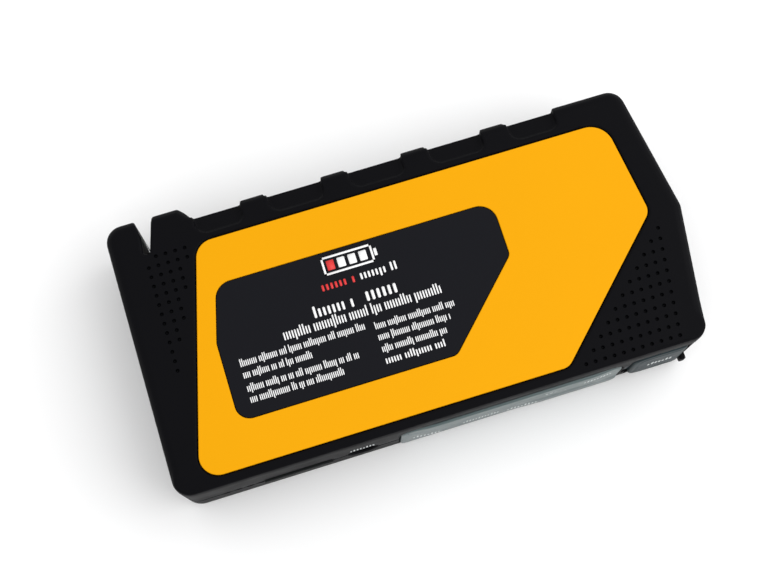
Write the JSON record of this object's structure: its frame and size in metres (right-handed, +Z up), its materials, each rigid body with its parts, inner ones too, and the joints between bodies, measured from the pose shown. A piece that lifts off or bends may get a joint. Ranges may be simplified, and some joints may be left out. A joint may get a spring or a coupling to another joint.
{
  "type": "jump starter pack",
  "caption": "Flat two-shell jump starter pack with orange inlays, belt-cutter notch, rubber USB flap, capped jump socket, power button and lamp.",
  "frame": {"origin": "centre of the footprint, on the surface the pack lies on", "axes": "+X along the length towards the pointed end, +Y from the port wall to the finger-grip edge, +Z up towards the back face with the rating label"},
  "size_m": [0.188, 0.096, 0.036],
  "materials": {
    "casing": "soft-touch black plastic, fine matte texture",
    "inlay": "satin orange-yellow plastic",
    "label": "fine-grained black plastic with white print",
    "rubber": "soft matte black rubber",
    "blade_steel": "ground steel blade",
    "screw_steel": "plated steel",
    "contact_brass": "gold-flashed brass",
    "nickel": "nickel plate",
    "socket_blue": "moulded nylon",
    "dark_plastic": "moulded plastic",
    "white_plastic": "moulded plastic",
    "clear_lens": "clear moulded lens",
    "reflector": "metallised reflector",
    "board_green": "solder-masked circuit board",
    "cell_foil": "laminated aluminium foil",
    "foam": "closed-cell foam",
    "wire_red": "silicone wire jacket",
    "wire_black": "silicone wire jacket"
  },
  "bodies": {
    "casing": {"back_shell": "casing", "front_shell": "casing", "back_inlay_plate": "inlay", "front_inlay_plate": "inlay", "rating_label_plate": "label", "cutter_blade": "blade_steel", "usb_flap_hinge": "rubber", "socket_cap_tether": "rubber", "jump_socket_housing": "socket_blue", "jump_contact_positive": "contact_brass", "jump_contact_negative": "contact_brass", "charge_jack_housing": "dark_plastic", "charge_jack_pin": "nickel", "power_switch_body": "dark_plastic", "main_board": "board_green", "power_inductor": "dark_plastic", "filter_capacitor": "cell_foil", "control_chip": "dark_plastic", "foam_pad_lower": "foam", "foam_pad_upper": "foam", "battery_lead_positive": "wire_red", "battery_lead_negative": "wire_black", "lamp_lens": "clear_lens", "lamp_reflector": "reflector", "lamp_emitter": "white_plastic", "case_screw_1": "screw_steel", "case_screw_2": "screw_steel", "case_screw_3": "screw_steel", "case_screw_4": "screw_steel", "case_screw_5": "screw_steel", "case_screw_6": "screw_steel", "usb_port_shell_1": "nickel", "usb_port_insulator_1": "white_plastic", "charge_led_window_1": "clear_lens", "charge_led_1": "white_plastic", "battery_cell_1": "cell_foil", "usb_port_shell_2": "nickel", "usb_port_insulator_2": "white_plastic", "charge_led_window_2": "clear_lens", "charge_led_2": "white_plastic", "battery_cell_2": "cell_foil", "usb_port_shell_3": "nickel", "usb_port_insulator_3": "white_plastic", "charge_led_window_3": "clear_lens", "charge_led_3": "white_plastic", "battery_cell_3": "cell_foil", "usb_port_shell_4": "nickel", "usb_port_insulator_4": "white_plastic", "charge_led_window_4": "clear_lens", "charge_led_4": "white_plastic", "battery_cell_4": "cell_foil", "cell_link_1": "nickel", "cell_link_2": "nickel", "cell_link_3": "nickel"},
    "usb_flap": {"usb_flap": "rubber"},
    "socket_cap": {"socket_cap": "rubber"},
    "power_button": {"power_button": "rubber", "power_switch_plunger": "white_plastic"}
  },
  "joints": [
    {"name": "usb_flap_hinge", "type": "hinge", "parent": "casing", "child": "usb_flap", "pos_m": [0.02, -0.04535, 0.0026], "axis": [1, 0, 0], "range_deg": [0, 90], "stiffness_Nm_per_rad": 0.002, "springref_deg": -11.46},
    {"name": "socket_cap_hinge", "type": "hinge", "parent": "casing", "child": "socket_cap", "pos_m": [0.06355, -0.0456, 0.0155], "axis": [0, 0, -1], "range_deg": [0, 95], "stiffness_Nm_per_rad": 0.002, "springref_deg": -11.46},
    {"name": "power_button_press", "type": "slide", "parent": "casing", "child": "power_button", "axis": [0, 1, 0], "range_m": [0, 0.0008], "stiffness_N_per_m": 1500, "springref_m": -0.0004}
  ]
}
